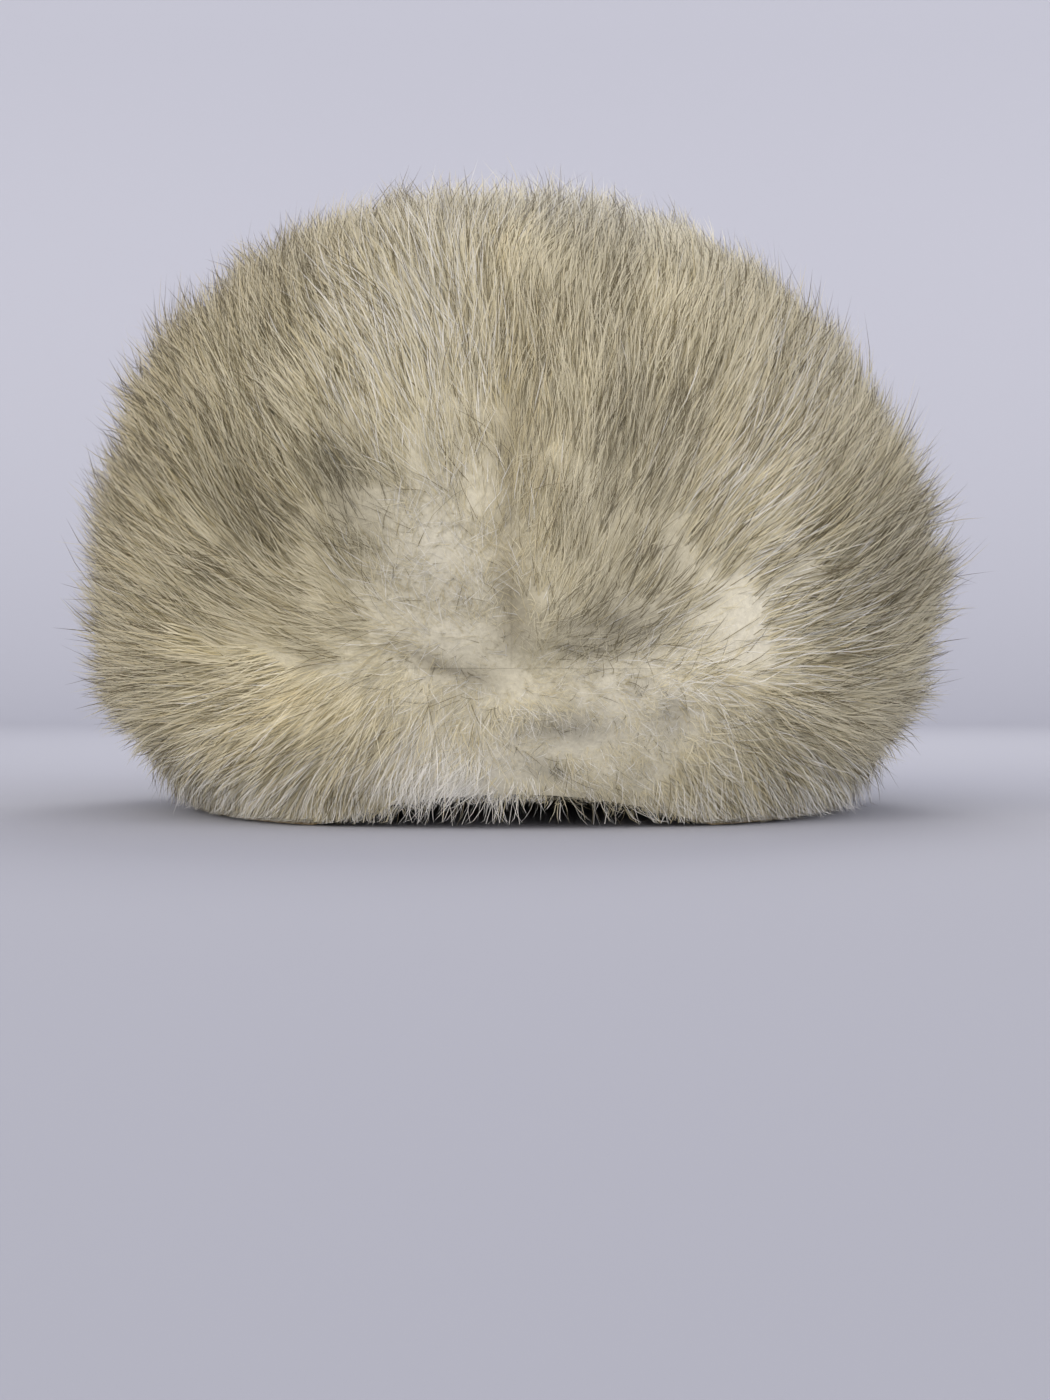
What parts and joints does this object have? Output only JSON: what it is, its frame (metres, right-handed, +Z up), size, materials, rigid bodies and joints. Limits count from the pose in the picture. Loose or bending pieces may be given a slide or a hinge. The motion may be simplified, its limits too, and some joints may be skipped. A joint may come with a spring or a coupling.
{
  "type": "fur cap",
  "caption": "Round deep-fur cap: a domed crown sewn from two pelts at a centre seam, above a fur cuff, open below for the head.",
  "frame": {"origin": "centre of the bounding box's bottom, on the surface that the rim rests on", "axes": "+Z up through the crown, +Y towards the front of the cap, -Y towards the back with the whorl, +X to the right when looking along +Y"},
  "size_m": [0.2392, 0.2581, 0.1689],
  "materials": {
    "pelt_leather": "matt sueded flesh side of the pelt",
    "guard_hair": "deep cream fur with grey-brown tips"
  },
  "bodies": {
    "root": {"crown_left_pelt": "pelt_leather", "crown_right_pelt": "pelt_leather", "cuff_pelt": "pelt_leather", "crown_left_fur": "guard_hair", "crown_right_fur": "guard_hair", "cuff_fur": "guard_hair"}
  },
  "joints": []
}
